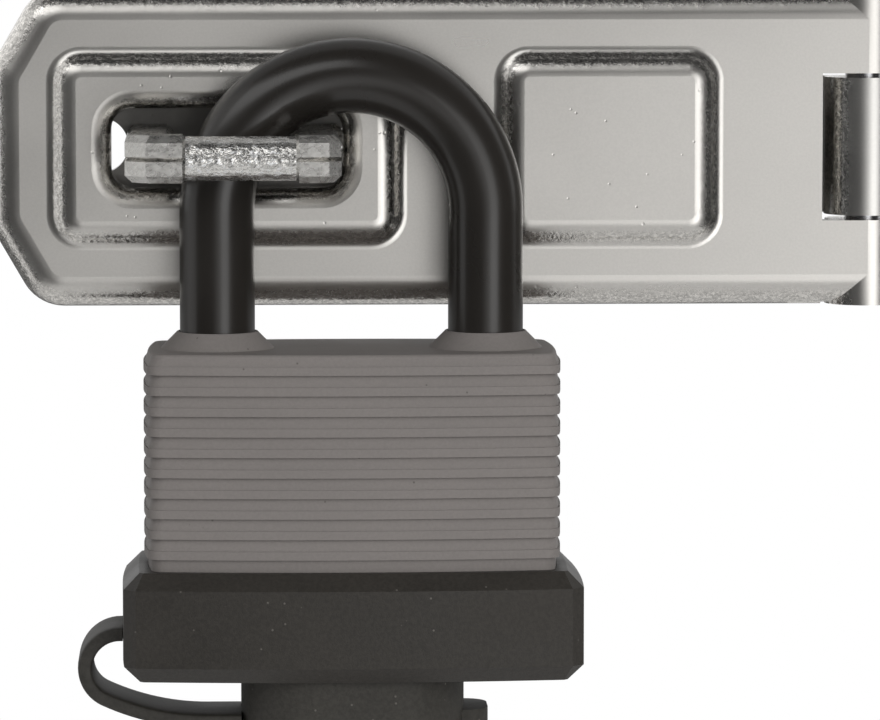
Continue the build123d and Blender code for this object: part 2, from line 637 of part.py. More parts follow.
heel_coil = coil(shackle_r - spring_wire, heel_spring_room, spring_wire, spring_turns)
with BuildPart() as shackle_spring:
    add(Pos(heel_x, lock_y, heel_spring_foot_z) * heel_coil)
shackle_spring.part.label = "shackle_spring"
export_step(shackle_spring.part, "parts/shackle_spring.step")

# Keyway cap: a soft cup round the neck, with a spigot inside the neck and a lifting tab
with BuildPart() as keyway_cap:
    with BuildSketch(lock_plane(cap_foot_z)):
        RectangleRounded(cap_length, cap_depth, cap_corner_r)
    extrude(amount=cap_height)
    fillet(keyway_cap.faces().sort_by(Axis.Z)[0].edges(), cap_edge_r)
    with BuildSketch(lock_plane(strap_end_z + strap_t / 2 - cap_tab_t)):
        with Locations((cap_length / 2, 0)):
            RectangleRounded(2 * cap_tab_length, cap_tab_width, cap_tab_corner_r)
    extrude(amount=cap_tab_t)
    with BuildSketch(lock_plane(neck_foot_z - cap_fit)):
        RectangleRounded(neck_length + 2 * cap_fit, neck_depth + 2 * cap_fit, neck_corner_r + cap_fit)
    extrude(amount=neck_height, mode=Mode.SUBTRACT)
    spigot_inset = neck_wall + cap_fit
    spigot_hollow = spigot_inset + cap_spigot_wall
    with BuildSketch(lock_plane(neck_foot_z - cap_fit)):
        RectangleRounded(neck_length - 2 * spigot_inset, neck_depth - 2 * spigot_inset,
                         neck_corner_r - spigot_inset)
        RectangleRounded(neck_length - 2 * spigot_hollow, neck_depth - 2 * spigot_hollow,
                         neck_corner_r - spigot_hollow, mode=Mode.SUBTRACT)
    extrude(amount=cap_spigot)
keyway_cap.part.label = "keyway_cap"
export_step(keyway_cap.part, "parts/keyway_cap.step")

# Strap: one flexible band from the cover's end round to the cap
strap_root_x = lock_x - cover_width / 2
strap_root_z = cover_rim_z - strap_drop
strap_end_x = lock_x - cap_length / 2
strap_fall = strap_root_z - strap_end_z
strap_sweep_r = (strap_fall - strap_top_r - strap_low_r * sin(radians(strap_low_turn))) / (
    1 - sin(radians(strap_low_turn)))
with BuildPart() as cap_strap:
    with BuildSketch(Plane(origin=(0, lock_y + strap_width / 2, 0), x_dir=(1, 0, 0), z_dir=(0, -1, 0))):
        with BuildLine():
            root_run = Line((strap_root_x, strap_root_z), (strap_root_x - strap_stub, strap_root_z))
            top_bend = JernArc(root_run @ 1, (-1, 0), strap_top_r, 90)
            low_bend = JernArc(top_bend @ 1, (0, -1), strap_low_r, strap_low_turn)
            sweep_bend = JernArc(low_bend @ 1, low_bend % 1, strap_sweep_r, 90 - strap_low_turn)
            Line(sweep_bend @ 1, (strap_end_x, strap_end_z))
        trace(line_width=strap_t)
    extrude(amount=strap_width)
cap_strap.part.label = "cap_strap"
export_step(cap_strap.part, "parts/cap_strap.step")

print("hinge axis", hinge_x, round(hinge_y, 3), "face", round(face_y, 3), "plateau", round(plateau_y, 3))
print("lock centre", round(lock_x, 3), round(lock_y, 3), "bow", round(bow_z, 3), "jacket top", round(jacket_top_z, 3))
print("swing pivot", round(bow_z + bow_r - shackle_r, 3), "cover", round(cover_rim_z, 3), round(cover_foot_z, 3))
print("heel spring foot", round(heel_spring_foot_z, 3), "strap root", round(strap_root_z, 3))
print("staple", round(staple_x, 3), "screws", round(base_hole_span_x, 3), round(base_hole_span_z, 3),
      round(staple_hole_span, 3), "free end", round(tip_x, 3), "plug", round(plug_length, 3))
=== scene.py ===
"""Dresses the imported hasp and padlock.

Plated and forged steel, a lacquered shackle, a vinyl jacket and moulded covers.
"""

import logging
import math
from dataclasses import dataclass
from enum import Enum

import bmesh
import bpy
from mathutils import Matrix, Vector

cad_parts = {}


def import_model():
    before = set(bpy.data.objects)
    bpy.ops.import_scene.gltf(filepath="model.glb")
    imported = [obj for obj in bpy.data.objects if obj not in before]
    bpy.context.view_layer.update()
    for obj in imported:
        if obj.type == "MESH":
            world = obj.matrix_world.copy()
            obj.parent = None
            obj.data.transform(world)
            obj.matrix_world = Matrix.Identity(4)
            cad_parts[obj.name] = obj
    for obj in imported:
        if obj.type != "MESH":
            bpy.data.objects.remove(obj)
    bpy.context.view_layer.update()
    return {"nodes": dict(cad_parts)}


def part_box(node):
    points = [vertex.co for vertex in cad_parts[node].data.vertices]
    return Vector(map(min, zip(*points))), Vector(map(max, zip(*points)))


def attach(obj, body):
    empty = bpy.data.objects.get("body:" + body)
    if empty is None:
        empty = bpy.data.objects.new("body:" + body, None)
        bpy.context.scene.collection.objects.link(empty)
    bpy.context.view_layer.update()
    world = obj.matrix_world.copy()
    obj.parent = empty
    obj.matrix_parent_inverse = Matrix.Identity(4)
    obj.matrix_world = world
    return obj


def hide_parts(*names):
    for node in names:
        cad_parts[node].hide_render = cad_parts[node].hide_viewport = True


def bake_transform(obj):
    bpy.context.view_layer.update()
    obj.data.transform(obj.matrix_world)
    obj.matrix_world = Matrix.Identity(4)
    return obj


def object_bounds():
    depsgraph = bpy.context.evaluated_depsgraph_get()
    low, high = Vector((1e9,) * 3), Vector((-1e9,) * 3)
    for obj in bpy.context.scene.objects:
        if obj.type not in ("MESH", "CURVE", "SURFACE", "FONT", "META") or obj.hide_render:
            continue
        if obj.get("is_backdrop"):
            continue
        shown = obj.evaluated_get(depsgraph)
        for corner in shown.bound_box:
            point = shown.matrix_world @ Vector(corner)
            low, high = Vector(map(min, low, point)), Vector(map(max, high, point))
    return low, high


LOG = logging.getLogger("hasp_and_padlock")
MM = 0.001
PICTURE_WIDTH = 880
ALONG_Y = (0.0, 1.0, 0.0)
Colour = tuple[float, float, float, float]
Value = float | tuple | bpy.types.NodeSocket


def srgb(red: int, green: int, blue: int) -> Colour:
    """Turns a screen colour into the linear colour that a shader takes.

    Args:
        red: the red channel, 0 to 255
        green: the green channel, 0 to 255
        blue: the blue channel, 0 to 255

    Returns:
        the linear colour with full alpha
    """
    channels = [value / 255 for value in (red, green, blue)]
    linear = [c / 12.92 if c <= 0.04045 else ((c + 0.055) / 1.055) ** 2.4 for c in channels]
    return (linear[0], linear[1], linear[2], 1.0)


def per_mm(count: float) -> float:
    """A texture scale that repeats about so many times in a millimetre."""
    return count / MM


class Graph:
    """Short calls that build one node tree.

    Args:
        tree: the node tree of a material, a world or a group
    """

    def __init__(self, tree: bpy.types.NodeTree) -> None:
        """Keeps the tree."""
        self.tree = tree

    def add(
        self, kind: str, inputs: dict[str, Value] | None = None, **settings: object
    ) -> bpy.types.Node:
        """Adds a node.

        Args:
            kind: the node's type name
            inputs: socket name to a plain value or to the output that feeds it
            settings: the node's own properties

        Returns:
            the new node
        """
        made = self.tree.nodes.new(kind)
        for name, value in settings.items():
            setattr(made, name, value)
        for name, value in (inputs or {}).items():
            self.feed(made.inputs[name], value)
        return made

    def feed(self, socket: bpy.types.NodeSocket, value: Value) -> None:
        """Links an output to a socket, or sets the socket's own value.

        Args:
            socket: the input
            value: an output or a plain value
        """
        if isinstance(value, bpy.types.NodeSocket):
            self.tree.links.new(value, socket)
        else:
            socket.default_value = value

    def math(
        self, operation: str, first: Value, second: Value = 0.0, third: Value | None = None
    ) -> bpy.types.NodeSocket:
        """Does one sum, product, power or other operation.

        Args:
            operation: the operation's name
            first: its first number
            second: its second number
            third: its third number, for an operation that takes one

        Returns:
            the result
        """
        node = self.add("ShaderNodeMath", operation=operation)
        self.feed(node.inputs[0], first)
        self.feed(node.inputs[1], second)
        if third is not None:
            self.feed(node.inputs[2], third)
        return node.outputs[0]

    def ramp(
        self, value: Value, low: float, high: float, start: Value = 0.0, end: Value = 1.0
    ) -> bpy.types.NodeSocket:
        """Takes a value smoothly from one range to another.

        Args:
            value: the value
            low: where the ramp starts
            high: where it ends
            start: the result at low
            end: the result at high

        Returns:
            the result
        """
        inputs = {"Value": value, "From Min": low, "From Max": high, "To Min": start, "To Max": end}
        return self.add("ShaderNodeMapRange", inputs, interpolation_type="SMOOTHSTEP").outputs[0]

    def mix(self, share: Value, first: Value, second: Value) -> bpy.types.NodeSocket:
        """Mixes two colours.

        Args:
            share: how much of the second colour
            first: the first colour
            second: the second colour

        Returns:
            the mixed colour
        """
        node = self.add("ShaderNodeMix", data_type="RGBA")
        self.feed(node.inputs["Factor"], share)
        self.feed(node.inputs[6], first)
        self.feed(node.inputs[7], second)
        return node.outputs[2]

    def noise(self, vector: Value, scale: Value, detail: float = 2.0) -> bpy.types.NodeSocket:
        """A soft random value, about 0.5, over space."""
        inputs = {"Vector": vector, "Scale": scale, "Detail": detail}
        return self.add("ShaderNodeTexNoise", inputs).outputs["Fac"]

    def stretch(self, vector: Value, factors: Value) -> bpy.types.NodeSocket:
        """Scales each axis of a vector.

        Args:
            vector: the vector
            factors: the three factors

        Returns:
            the scaled vector
        """
        node = self.add("ShaderNodeVectorMath", operation="MULTIPLY")
        self.feed(node.inputs[0], vector)
        self.feed(node.inputs[1], factors)
        return node.outputs[0]


class Effect(Enum):
    """The effects that several finishes share, each one node group."""

    GRAIN = "moulded_grain"
    CLOUD = "uneven_tone"
    SPANGLE = "strained_plating"
    SPECKS = "loose_specks"


class EffectShelf:
    """Builds each shared effect once and places it in materials."""

    FINER = 2.7
    COARSE_SHARE = 0.6
    LUMP_SCALE = 0.45
    CRYSTAL_SHARE = 0.45
    LUMP_SHARE = 0.9
    SPECK_CORE = 0.12
    SPECK_EDGE = 0.24

    def __init__(self) -> None:
        """Starts with no effect built."""
        self.trees: dict[Effect, bpy.types.NodeTree] = {}

    def place(self, graph: Graph, effect: Effect, **inputs: Value) -> bpy.types.Node:
        """Places an effect in a material.

        Args:
            graph: the material's graph
            effect: which effect
            inputs: the group's inputs by name

        Returns:
            the group node, whose outputs carry the effect
        """
        if effect not in self.trees:
            self.trees[effect] = self._build(effect)
        node = graph.add("ShaderNodeGroup", node_tree=self.trees[effect])
        for name, value in inputs.items():
            graph.feed(node.inputs[name.capitalize()], value)
        return node

    def _build(self, effect: Effect) -> bpy.types.NodeTree:
        """Makes the group of one effect.

        Args:
            effect: which effect

        Returns:
            its node group
        """
        makers = {
            Effect.GRAIN: (self._grain, ("Scale",), ("Height", "Tone")),
            Effect.CLOUD: (self._cloud, ("Scale", "Stretch"), ("Tone",)),
            Effect.SPANGLE: (self._spangle, ("Scale", "Bend"), ("Height", "Tone")),
            Effect.SPECKS: (self._specks, ("Scale", "Share"), ("Mask",)),
        }
        maker, inputs, outputs = makers[effect]
        tree = bpy.data.node_groups.new(effect.value, "ShaderNodeTree")
        tree.interface.new_socket("Vector", in_out="INPUT", socket_type="NodeSocketVector")
        for name in inputs:
            tree.interface.new_socket(name, in_out="INPUT", socket_type="NodeSocketFloat")
        for name in outputs:
            tree.interface.new_socket(name, in_out="OUTPUT", socket_type="NodeSocketFloat")
        graph = Graph(tree)
        source = graph.add("NodeGroupInput")
        graph.add("NodeGroupOutput", maker(graph, source.outputs))
        return tree

    def _grain(self, graph: Graph, given: bpy.types.NodeInputs) -> dict[str, Value]:
        """Fine pebbling of a moulded surface.

        Args:
            graph: the group's graph
            given: the group's inputs

        Returns:
            the height, and a tone from -1 to 1
        """
        coarse = graph.noise(given["Vector"], given["Scale"], 3.0)
        fine = graph.noise(given["Vector"], graph.math("MULTIPLY", given["Scale"], self.FINER))
        height = graph.math(
            "ADD",
            graph.math("MULTIPLY", coarse, self.COARSE_SHARE),
            graph.math("MULTIPLY", fine, 1 - self.COARSE_SHARE),
        )
        return {"Height": height, "Tone": graph.ramp(height, 0.35, 0.65, -1.0, 1.0)}

    def _cloud(self, graph: Graph, given: bpy.types.NodeInputs) -> dict[str, Value]:
        """Broad uneven tone, drawn out along X by the stretch.

        Args:
            graph: the group's graph
            given: the group's inputs

        Returns:
            a tone from -1 to 1
        """
        inputs = {"X": given["Stretch"], "Y": 1.0, "Z": 1.0}
        along = graph.add("ShaderNodeCombineXYZ", inputs).outputs[0]
        tone = graph.noise(graph.stretch(given["Vector"], along), given["Scale"], 4.0)
        return {"Tone": graph.ramp(tone, 0.3, 0.7, -1.0, 1.0)}

    def _spangle(self, graph: Graph, given: bpy.types.NodeInputs) -> dict[str, Value]:
        """Crystalline roughness that plating shows where the sheet was strained.

        Args:
            graph: the group's graph
            given: the group's inputs

        Returns:
            the height, and a tone from -1 to 1, both only where the bend is
        """
        place = {"Vector": given["Vector"], "Scale": given["Scale"]}
        cells = graph.add("ShaderNodeTexVoronoi", place)
        lump_scale = graph.math("MULTIPLY", given["Scale"], self.LUMP_SCALE)
        lumps = graph.noise(given["Vector"], lump_scale, 3.0)
        each = graph.add("ShaderNodeSeparateColor", {"Color": cells.outputs["Color"]}).outputs[0]
        mixed = graph.math(
            "ADD",
            graph.math("MULTIPLY", each, self.CRYSTAL_SHARE),
            graph.math("MULTIPLY", lumps, self.LUMP_SHARE),
        )
        height = graph.math("MULTIPLY", mixed, given["Bend"])
        tone = graph.math("MULTIPLY", graph.ramp(mixed, 0.35, 1.05, -1.0, 1.0), given["Bend"])
        return {"Height": height, "Tone": tone}

    def _specks(self, graph: Graph, given: bpy.types.NodeInputs) -> dict[str, Value]:
        """Sparse small specks: in a share of the cells, near the cell's centre.

        Args:
            graph: the group's graph
            given: the group's inputs

        Returns:
            the specks' mask
        """
        place = {"Vector": given["Vector"], "Scale": given["Scale"]}
        cells = graph.add("ShaderNodeTexVoronoi", place)
        chance = graph.add("ShaderNodeSeparateColor", {"Color": cells.outputs["Color"]}).outputs[1]
        chosen = graph.math("LESS_THAN", chance, given["Share"])
        near = graph.ramp(cells.outputs["Distance"], self.SPECK_CORE, self.SPECK_EDGE, 1.0, 0.0)
        return {"Mask": graph.math("MULTIPLY", chosen, near)}


SHELF = EffectShelf()


@dataclass(frozen=True)
class Finish:
    """What every finish shares: a named material with one Principled shader."""

    name: str

    def build(self) -> bpy.types.Material:
        """Makes the material.

        Returns:
            the new material
        """
        material = bpy.data.materials.new(self.name)
        material.use_nodes = True
        material.node_tree.nodes.clear()
        graph = Graph(material.node_tree)
        shader = graph.add("ShaderNodeBsdfPrincipled")
        graph.add("ShaderNodeOutputMaterial", {"Surface": shader.outputs[0]})
        self.dress(graph, shader, graph.add("ShaderNodeTexCoord"))
        return material

    def dress(self, graph: Graph, shader: bpy.types.Node, place: bpy.types.Node) -> None:
        """Gives the shader its nodes.

        Args:
            graph: the material's graph
            shader: its Principled shader
            place: its texture coordinates
        """
        raise NotImplementedError


def shade(graph: Graph, colour: Colour, tone: Value, spread: float) -> bpy.types.NodeSocket:
    """Makes a colour lighter or darker.

    Args:
        graph: the material's graph
        colour: the plain colour
        tone: from -1, darkest, to 1, lightest
        spread: how far the tone moves the colour

    Returns:
        the shaded colour
    """
    node = graph.add("ShaderNodeVectorMath", operation="SCALE")
    graph.feed(node.inputs[0], colour[:3])
    graph.feed(node.inputs["Scale"], graph.math("MULTIPLY_ADD", tone, spread, 1.0))
    return node.outputs[0]


def bump(graph: Graph, height: Value, distance: float) -> bpy.types.NodeSocket:
    """A normal from a height, whose full range is distance metres deep."""
    inputs: dict[str, Value] = {"Strength": 1.0, "Distance": distance, "Height": height}
    return graph.add("ShaderNodeBump", inputs).outputs[0]


@dataclass(frozen=True)
class PlatedSteel(Finish):
    """Bright plated sheet: satin on the flats, crystalline where the press bent it, with painted
    glints in the bends' colour.
    """

    colour: Colour
    flat_roughness: float = 0.3
    bend_roughness: float = 0.15
    steep_from: float = 0.62
    steep_to: float = 0.89
    patch_scale: float = per_mm(0.9)
    patchiness: float = 0.16
    spangle_depth: float = 0.065 * MM
    spangle_scale: float = per_mm(4.6)
    # how far the bends' grain lightens and darkens the base colour: real crystalline texture plus
    # painted glints
    spangle_and_glint: float = 0.3
    sparkle_roughness: float = 0.08
    cloud_scale: float = 55.0
    cloud_stretch: float = 0.6
    cloud_tone: float = 0.04
    cloud_roughness: float = 0.03
    pit_scale: float = per_mm(1.2)
    pit_share: float = 0.035
    pit_height: float = -0.25
    grain_scale: float = per_mm(3.5)
    grain_tone: float = 0.025

    def dress(self, graph: Graph, shader: bpy.types.Node, place: bpy.types.Node) -> None:
        """Masks the bends by the surface's own direction, so they follow the part when it moves.

        Args:
            graph: the material's graph
            shader: its Principled shader
            place: its texture coordinates
        """
        vector = place.outputs["Object"]
        bend = self._bend(graph, place)
        spangle = SHELF.place(
            graph, Effect.SPANGLE, vector=vector, scale=self.spangle_scale, bend=bend
        )
        cloud = SHELF.place(
            graph, Effect.CLOUD, vector=vector, scale=self.cloud_scale, stretch=self.cloud_stretch
        )
        specks = SHELF.place(
            graph, Effect.SPECKS, vector=vector, scale=self.pit_scale, share=self.pit_share
        )
        grain = SHELF.place(graph, Effect.GRAIN, vector=vector, scale=self.grain_scale)
        broad = graph.math(
            "ADD",
            graph.math("MULTIPLY", cloud.outputs["Tone"], self.cloud_tone),
            graph.math("MULTIPLY", grain.outputs["Tone"], self.grain_tone),
        )
        # Painted glints: on the bends the strained grain's tone lightens and darkens the base
        # colour, partly the plating's real crystals, partly the glints its grains throw.
        spangle_and_glint = graph.math("MULTIPLY", spangle.outputs["Tone"], self.spangle_and_glint)
        tone = graph.math("ADD", broad, spangle_and_glint)
        graph.feed(shader.inputs["Base Color"], shade(graph, self.colour, tone, 1.0))
        shader.inputs["Metallic"].default_value = 1.0
        base = graph.ramp(bend, 0.0, 1.0, self.flat_roughness, self.bend_roughness)
        uneven = graph.math("MULTIPLY", cloud.outputs["Tone"], self.cloud_roughness)
        rough = graph.math(
            "ADD",
            graph.math("ADD", base, uneven),
            graph.math("MULTIPLY", spangle.outputs["Tone"], self.sparkle_roughness),
        )
        graph.feed(shader.inputs["Roughness"], rough)
        pits = graph.math("MULTIPLY", specks.outputs["Mask"], self.pit_height)
        height = graph.math("ADD", spangle.outputs["Height"], pits)
        graph.feed(shader.inputs["Normal"], bump(graph, height, self.spangle_depth))

    def _bend(self, graph: Graph, place: bpy.types.Node) -> bpy.types.NodeSocket:
        """Finds where the sheet turns away from its flat face.

        Args:
            graph: the material's graph
            place: its texture coordinates

        Returns:
            1 on the bends, 0 on the flats, with an uneven edge between them
        """
        normal = {"Vector": place.outputs["Normal"]}
        facing = graph.add("ShaderNodeSeparateXYZ", normal).outputs["Y"]
        patches = graph.noise(place.outputs["Object"], self.patch_scale, 4.0)
        patchy = graph.math("MULTIPLY", patches, self.patchiness)
        steep = graph.math("SUBTRACT", graph.math("ABSOLUTE", facing), patchy)
        return graph.ramp(steep, self.steep_from, self.steep_to, 1.0, 0.0)


@dataclass(frozen=True)
class ForgedSteel(Finish):
    """Plated forging, from smooth flats to a coarse hammered skin."""

    colour: Colour
    roughness: float
    hammer_depth: float
    hammer_scale: float
    mottle: float
    shorten: tuple[float, float, float] = (1.0, 1.6, 1.6)
    cloud_scale: float = 160.0
    cloud_tone: float = 0.5
    dent_roughness: float = 0.06

    def dress(self, graph: Graph, shader: bpy.types.Node, place: bpy.types.Node) -> None:
        """Lays short hammered dents over a broad tone.

        Args:
            graph: the material's graph
            shader: its Principled shader
            place: its texture coordinates
        """
        vector = graph.stretch(place.outputs["Object"], self.shorten)
        dents = SHELF.place(
            graph, Effect.SPANGLE, vector=vector, scale=self.hammer_scale, bend=1.0
        )
        cloud = SHELF.place(
            graph, Effect.CLOUD, vector=vector, scale=self.cloud_scale, stretch=1.0
        )
        broad = graph.math("MULTIPLY", cloud.outputs["Tone"], self.cloud_tone)
        tone = graph.math("ADD", broad, dents.outputs["Tone"])
        graph.feed(shader.inputs["Base Color"], shade(graph, self.colour, tone, self.mottle))
        shader.inputs["Metallic"].default_value = 1.0
        rough = graph.math(
            "MULTIPLY_ADD", dents.outputs["Tone"], self.dent_roughness, self.roughness
        )
        graph.feed(shader.inputs["Roughness"], rough)
        normal = bump(graph, dents.outputs["Height"], self.hammer_depth)
        graph.feed(shader.inputs["Normal"], normal)


@dataclass(frozen=True)
class Lacquer(Finish):
    """Deep glossy coat over steel, with a faint unevenness and a few dust nibs."""

    colour: Colour
    roughness: float = 0.3
    coat: float = 0.25
    coat_roughness: float = 0.12
    cloud_scale: float = 90.0
    cloud_tone: float = 0.08
    cloud_roughness: float = 0.03
    nib_scale: float = per_mm(0.7)
    nib_share: float = 0.05
    nib_height: float = 0.6
    wave_scale: float = per_mm(1.1)
    wave_height: float = 0.35
    depth: float = 0.012 * MM

    def dress(self, graph: Graph, shader: bpy.types.Node, place: bpy.types.Node) -> None:
        """Lays a smooth clear coat over a darker, rougher base.

        Args:
            graph: the material's graph
            shader: its Principled shader
            place: its texture coordinates
        """
        vector = place.outputs["Object"]
        cloud = SHELF.place(
            graph, Effect.CLOUD, vector=vector, scale=self.cloud_scale, stretch=1.0
        )
        specks = SHELF.place(
            graph, Effect.SPECKS, vector=vector, scale=self.nib_scale, share=self.nib_share
        )
        waves = SHELF.place(graph, Effect.GRAIN, vector=vector, scale=self.wave_scale)
        tone = cloud.outputs["Tone"]
        graph.feed(shader.inputs["Base Color"], shade(graph, self.colour, tone, self.cloud_tone))
        rough = graph.math("MULTIPLY_ADD", tone, self.cloud_roughness, self.roughness)
        graph.feed(shader.inputs["Roughness"], rough)
        shader.inputs["Coat Weight"].default_value = self.coat
        shader.inputs["Coat Roughness"].default_value = self.coat_roughness
        height = graph.math(
            "ADD",
            graph.math("MULTIPLY", specks.outputs["Mask"], self.nib_height),
            graph.math("MULTIPLY", waves.outputs["Height"], self.wave_height),
        )
        graph.feed(shader.inputs["Normal"], bump(graph, height, self.depth))


@dataclass(frozen=True)
class Moulded(Finish):
    """Moulded plastic, vinyl or rubber: fine grain, soft blotches, pale dust specks."""

    colour: Colour
    roughness: float
    grain_scale: float
    grain_depth: float
    tone_spread: float
    dust_share: float
    dust_colour: Colour = srgb(92, 89, 84)
    dust_scale: float = per_mm(1.6)
    cloud_scale: float = 110.0
    cloud_stretch: float = 0.7
    cloud_tone: float = 0.6
    cloud_roughness: float = 0.05
    specular: float = 0.4

    def dress(self, graph: Graph, shader: bpy.types.Node, place: bpy.types.Node) -> None:
        """Puts grain in the height and the tone, and dust in the colour.

        Args:
            graph: the material's graph
            shader: its Principled shader
            place: its texture coordinates
        """
        vector = place.outputs["Object"]
        grain = SHELF.place(graph, Effect.GRAIN, vector=vector, scale=self.grain_scale)
        cloud = SHELF.place(
            graph, Effect.CLOUD, vector=vector, scale=self.cloud_scale, stretch=self.cloud_stretch
        )
        dust = SHELF.place(
            graph, Effect.SPECKS, vector=vector, scale=self.dust_scale, share=self.dust_share
        )
        broad = graph.math("MULTIPLY", cloud.outputs["Tone"], self.cloud_tone)
        tone = graph.math("ADD", broad, grain.outputs["Tone"])
        base = shade(graph, self.colour, tone, self.tone_spread)
        dusty = graph.mix(dust.outputs["Mask"], base, self.dust_colour)
        graph.feed(shader.inputs["Base Color"], dusty)
        rough = graph.math(
            "MULTIPLY_ADD", cloud.outputs["Tone"], self.cloud_roughness, self.roughness
        )
        graph.feed(shader.inputs["Roughness"], rough)
        shader.inputs["Specular IOR Level"].default_value = self.specular
        normal = bump(graph, grain.outputs["Height"], self.grain_depth)
        graph.feed(shader.inputs["Normal"], normal)


@dataclass(frozen=True)
class BareMetal(Finish):
    """Machined brass or drawn steel with fine lathe or draw lines."""

    colour: Colour
    roughness: float
    line_scale: float = per_mm(5.0)
    line_stretch: tuple[float, float, float] = (0.1, 0.1, 1.0)
    line_depth: float = 0.008 * MM
    tarnish_scale: float = 180.0
    tarnish: float = 0.1
    tarnish_roughness: float = 0.05

    def dress(self, graph: Graph, shader: bpy.types.Node, place: bpy.types.Node) -> None:
        """Draws fine lines across Z and a slight tarnish.

        Args:
            graph: the material's graph
            shader: its Principled shader
            place: its texture coordinates
        """
        vector = place.outputs["Object"]
        lines = graph.noise(graph.stretch(vector, self.line_stretch), self.line_scale, 3.0)
        cloud = SHELF.place(
            graph, Effect.CLOUD, vector=vector, scale=self.tarnish_scale, stretch=1.0
        )
        tone = cloud.outputs["Tone"]
        graph.feed(shader.inputs["Base Color"], shade(graph, self.colour, tone, self.tarnish))
        shader.inputs["Metallic"].default_value = 1.0
        rough = graph.math("MULTIPLY_ADD", tone, self.tarnish_roughness, self.roughness)
        graph.feed(shader.inputs["Roughness"], rough)
        graph.feed(shader.inputs["Normal"], bump(graph, lines, self.line_depth))


LEAF_PLATING = PlatedSteel("leaf_plating", srgb(222, 219, 214))
# The staple plate's colour is darkened to stand in for the shade it sits in behind the leaf's slot:
# painted shade, not the plating's own tone.
PLATE_PAINTED_SHADE = PlatedSteel("plate_plating_painted_shade", srgb(138, 136, 133), flat_roughness=0.42)
KNUCKLE_PLATING = PlatedSteel("knuckle_plating", srgb(214, 212, 208))
FORGED_FLAT = ForgedSteel(
    "forged_flats",
    srgb(212, 210, 206),
    roughness=0.3,
    hammer_depth=0.035 * MM,
    hammer_scale=per_mm(2.0),
    mottle=0.14,
)
FORGED_ROD = ForgedSteel(
    "hammered_rod",
    srgb(240, 238, 234),
    roughness=0.25,
    hammer_depth=0.15 * MM,
    hammer_scale=per_mm(2.8),
    mottle=0.25,
)
RIVET_END = BareMetal("rivet_ends", srgb(150, 148, 145), roughness=0.4)
SHACKLE_LACQUER = Lacquer("shackle_lacquer", srgb(36, 33, 30))
JACKET_VINYL = Moulded(
    "jacket_vinyl",
    srgb(124, 119, 116),
    roughness=0.62,
    grain_scale=per_mm(3.0),
    grain_depth=0.012 * MM,
    tone_spread=0.04,
    dust_share=0.015,
)
COVER_PLASTIC = Moulded(
    "cover_plastic",
    srgb(49, 46, 42),
    roughness=0.5,
    grain_scale=per_mm(2.4),
    grain_depth=0.035 * MM,
    tone_spread=0.15,
    dust_share=0.03,
)
CAP_RUBBER = Moulded(
    "cap_rubber",
    srgb(54, 52, 48),
    roughness=0.6,
    grain_scale=per_mm(1.8),
    grain_depth=0.045 * MM,
    tone_spread=0.16,
    dust_share=0.05,
)
BODY_BRASS = BareMetal("body_brass", srgb(196, 160, 92), roughness=0.3)
DRAWN_STEEL = BareMetal("drawn_steel", srgb(196, 196, 198), roughness=0.25)


def mesh_object(name: str, mesh: bmesh.types.BMesh, smooth_angle: float) -> bpy.types.Object:
    """Turns a finished bmesh into a smooth-shaded object.

    Args:
        name: the piece's name
        mesh: the mesh, which is freed
        smooth_angle: edges sharper than this, in degrees, stay crisp

    Returns:
        the new object, linked to the scene
    """
    bmesh.ops.recalc_face_normals(mesh, faces=mesh.faces)
    data = bpy.data.meshes.new(name)
    mesh.to_mesh(data)
    mesh.free()
    made = bpy.data.objects.new(name, data)
    bpy.context.scene.collection.objects.link(made)
    data.polygons.foreach_set("use_smooth", [True] * len(data.polygons))
    data.set_sharp_from_angle(angle=math.radians(smooth_angle))
    return made


def bridge_rings(mesh: bmesh.types.BMesh, rings: list[list[bmesh.types.BMVert]]) -> None:
    """Joins closed rings of vertices into a tube and closes both ends.

    Args:
        mesh: the mesh that holds the vertices
        rings: the rings in order, all with the same count
    """
    for before, after in zip(rings, rings[1:]):
        count = len(before)
        for index in range(count):
            following = (index + 1) % count
            corners = (before[index], before[following], after[following], after[index])
            mesh.faces.new(corners)
    mesh.faces.new(rings[0])
    mesh.faces.new(rings[-1][::-1])


class Section(Enum):
    """The cross-sections of the forged eye."""

    ROUND = "round"
    CHAMFERED = "chamfered"
    SQUARE = "square"


@dataclass(frozen=True)
class Cut:
    """One cut through the eye.

    Args:
        outer: its point on the eye's outside
        inner: its point on the eye's inside
        half_up: half its height
        section: its shape
    """

    outer: Vector
    inner: Vector
    half_up: float
    section: Section


